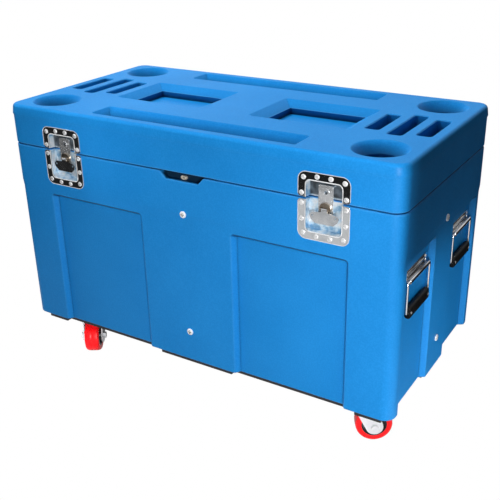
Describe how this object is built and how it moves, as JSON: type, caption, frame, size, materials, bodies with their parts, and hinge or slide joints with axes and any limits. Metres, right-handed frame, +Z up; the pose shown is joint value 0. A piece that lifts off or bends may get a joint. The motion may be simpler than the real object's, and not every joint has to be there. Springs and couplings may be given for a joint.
{
  "type": "flight case",
  "caption": "Blue moulded flight case with a hinged lid with pockets in its top, recessed butterfly latches, drop handles and swivel casters with red tyres.",
  "frame": {"origin": "on the floor under the middle of the case", "axes": "+X along the length, the front with the latches faces -Y, +Z up"},
  "size_m": [1.205, 0.6275, 0.822],
  "materials": {
    "blue_shell": "satin, fine moulded grain",
    "black_board": "black coated plywood",
    "latch_chrome": "bright plated steel",
    "handle_chrome": "bright plated steel",
    "zinc_steel": "zinc plated",
    "rivet_metal": "bright",
    "cam_brass": "worn yellow plating",
    "eye_brass": "bright",
    "black_grip": "black moulded",
    "seal_rubber": "matte",
    "wheel_black": "moulded",
    "red_tyre": "smooth red tread"
  },
  "bodies": {
    "base": {"base_tub": "blue_shell", "caster_board": "black_board", "rib_screws": "zinc_steel", "caster_bolts": "zinc_steel", "tub_rivets": "rivet_metal", "handle_rivets": "rivet_metal", "lock_eye": "eye_brass", "latch_dish_right": "latch_chrome", "hinge_tub_leaf_right": "zinc_steel", "hinge_pin_right": "zinc_steel", "latch_dish_left": "latch_chrome", "hinge_tub_leaf_left": "zinc_steel", "hinge_pin_left": "zinc_steel", "handle_plate_right_front": "handle_chrome", "handle_plate_right_rear": "handle_chrome", "handle_plate_left_front": "handle_chrome", "handle_plate_left_rear": "handle_chrome", "caster_plate_front_right": "zinc_steel", "caster_plate_front_left": "zinc_steel", "caster_plate_rear_right": "zinc_steel", "caster_plate_rear_left": "zinc_steel"},
    "lid": {"lid_shell": "blue_shell", "lid_seal": "seal_rubber", "lid_rivets": "rivet_metal", "latch_keeper_right": "latch_chrome", "hinge_lid_leaf_right": "zinc_steel", "latch_keeper_left": "latch_chrome", "hinge_lid_leaf_left": "zinc_steel"},
    "latch_cam_right": {"latch_cam_right": "cam_brass"},
    "latch_hook_right": {"latch_hook_right": "latch_chrome"},
    "latch_wing_right": {"latch_wing_right": "latch_chrome"},
    "latch_cam_left": {"latch_cam_left": "cam_brass"},
    "latch_hook_left": {"latch_hook_left": "latch_chrome"},
    "latch_wing_left": {"latch_wing_left": "latch_chrome"},
    "handle_bail_right_front": {"handle_bail_right_front": "handle_chrome", "handle_grip_right_front": "black_grip"},
    "handle_bail_right_rear": {"handle_bail_right_rear": "handle_chrome", "handle_grip_right_rear": "black_grip"},
    "handle_bail_left_front": {"handle_bail_left_front": "handle_chrome", "handle_grip_left_front": "black_grip"},
    "handle_bail_left_rear": {"handle_bail_left_rear": "handle_chrome", "handle_grip_left_rear": "black_grip"},
    "caster_fork_front_right": {"caster_fork_front_right": "zinc_steel", "caster_axle_front_right": "zinc_steel"},
    "wheel_front_right": {"wheel_core_front_right": "wheel_black", "wheel_tyre_front_right": "red_tyre"},
    "caster_fork_front_left": {"caster_fork_front_left": "zinc_steel", "caster_axle_front_left": "zinc_steel"},
    "wheel_front_left": {"wheel_core_front_left": "wheel_black", "wheel_tyre_front_left": "red_tyre"},
    "caster_fork_rear_right": {"caster_fork_rear_right": "zinc_steel", "caster_axle_rear_right": "zinc_steel"},
    "wheel_rear_right": {"wheel_core_rear_right": "wheel_black", "wheel_tyre_rear_right": "red_tyre"},
    "caster_fork_rear_left": {"caster_fork_rear_left": "zinc_steel", "caster_axle_rear_left": "zinc_steel"},
    "wheel_rear_left": {"wheel_core_rear_left": "wheel_black", "wheel_tyre_rear_left": "red_tyre"}
  },
  "joints": [
    {"name": "lid_hinge", "type": "hinge", "parent": "base", "child": "lid", "pos_m": [0, 0.312, 0.7085], "axis": [-1, 0, 0], "range_deg": [0, 95]},
    {"name": "latch_cam_turn_right", "type": "hinge", "parent": "base", "child": "latch_cam_right", "pos_m": [0.403, -0.305, 0.686], "axis": [0, -1, 0], "range_deg": [0, 180]},
    {"name": "latch_hook_lift_right", "type": "slide", "parent": "base", "child": "latch_hook_right", "axis": [0, 0, 1], "range_m": [0, 0.006]},
    {"name": "latch_wing_fold_right", "type": "hinge", "parent": "latch_cam_right", "child": "latch_wing_right", "pos_m": [0.403, -0.3025, 0.686], "axis": [-1, 0, 0], "range_deg": [0, 90]},
    {"name": "latch_cam_turn_left", "type": "hinge", "parent": "base", "child": "latch_cam_left", "pos_m": [-0.403, -0.305, 0.686], "axis": [0, -1, 0], "range_deg": [0, 180]},
    {"name": "latch_hook_lift_left", "type": "slide", "parent": "base", "child": "latch_hook_left", "axis": [0, 0, 1], "range_m": [0, 0.006]},
    {"name": "latch_wing_fold_left", "type": "hinge", "parent": "latch_cam_left", "child": "latch_wing_left", "pos_m": [-0.403, -0.3025, 0.686], "axis": [-1, 0, 0], "range_deg": [0, 90]},
    {"name": "handle_swing_right_front", "type": "hinge", "parent": "base", "child": "handle_bail_right_front", "pos_m": [0.5905, -0.16225, 0.513], "axis": [0, -1, 0], "range_deg": [0, 90]},
    {"name": "handle_swing_right_rear", "type": "hinge", "parent": "base", "child": "handle_bail_right_rear", "pos_m": [0.5905, 0.16225, 0.513], "axis": [0, -1, 0], "range_deg": [0, 90]},
    {"name": "handle_swing_left_front", "type": "hinge", "parent": "base", "child": "handle_bail_left_front", "pos_m": [-0.5905, -0.16225, 0.513], "axis": [0, 1, 0], "range_deg": [0, 90]},
    {"name": "handle_swing_left_rear", "type": "hinge", "parent": "base", "child": "handle_bail_left_rear", "pos_m": [-0.5905, 0.16225, 0.513], "axis": [0, 1, 0], "range_deg": [0, 90]},
    {"name": "caster_swivel_front_right", "type": "hinge", "parent": "base", "child": "caster_fork_front_right", "pos_m": [0.479, -0.182, 0.12], "axis": [0, 0, 1], "continuous": true},
    {"name": "wheel_roll_front_right", "type": "hinge", "parent": "caster_fork_front_right", "child": "wheel_front_right", "pos_m": [0.49689, -0.171, 0.05], "axis": [-0.524, 0.8517, 0], "continuous": true},
    {"name": "caster_swivel_front_left", "type": "hinge", "parent": "base", "child": "caster_fork_front_left", "pos_m": [-0.479, -0.182, 0.12], "axis": [0, 0, 1], "continuous": true},
    {"name": "wheel_roll_front_left", "type": "hinge", "parent": "caster_fork_front_left", "child": "wheel_front_left", "pos_m": [-0.468, -0.19989, 0.05], "axis": [0.8517, 0.524, 0], "continuous": true},
    {"name": "caster_swivel_rear_right", "type": "hinge", "parent": "base", "child": "caster_fork_rear_right", "pos_m": [0.479, 0.182, 0.12], "axis": [0, 0, 1], "continuous": true},
    {"name": "wheel_roll_rear_right", "type": "hinge", "parent": "caster_fork_rear_right", "child": "wheel_rear_right", "pos_m": [0.45927, 0.18918, 0.05], "axis": [-0.342, -0.9397, 0], "continuous": true},
    {"name": "caster_swivel_rear_left", "type": "hinge", "parent": "base", "child": "caster_fork_rear_left", "pos_m": [-0.479, 0.182, 0.12], "axis": [0, 0, 1], "continuous": true},
    {"name": "wheel_roll_rear_left", "type": "hinge", "parent": "caster_fork_rear_left", "child": "wheel_rear_left", "pos_m": [-0.49803, 0.17313, 0.05], "axis": [0.4226, -0.9063, 0], "continuous": true}
  ],
  "couplings": [
    {"joint": "latch_hook_lift_right", "follows": "latch_cam_turn_right", "m_per_rad": 0.00191},
    {"joint": "latch_hook_lift_left", "follows": "latch_cam_turn_left", "m_per_rad": 0.00191}
  ]
}
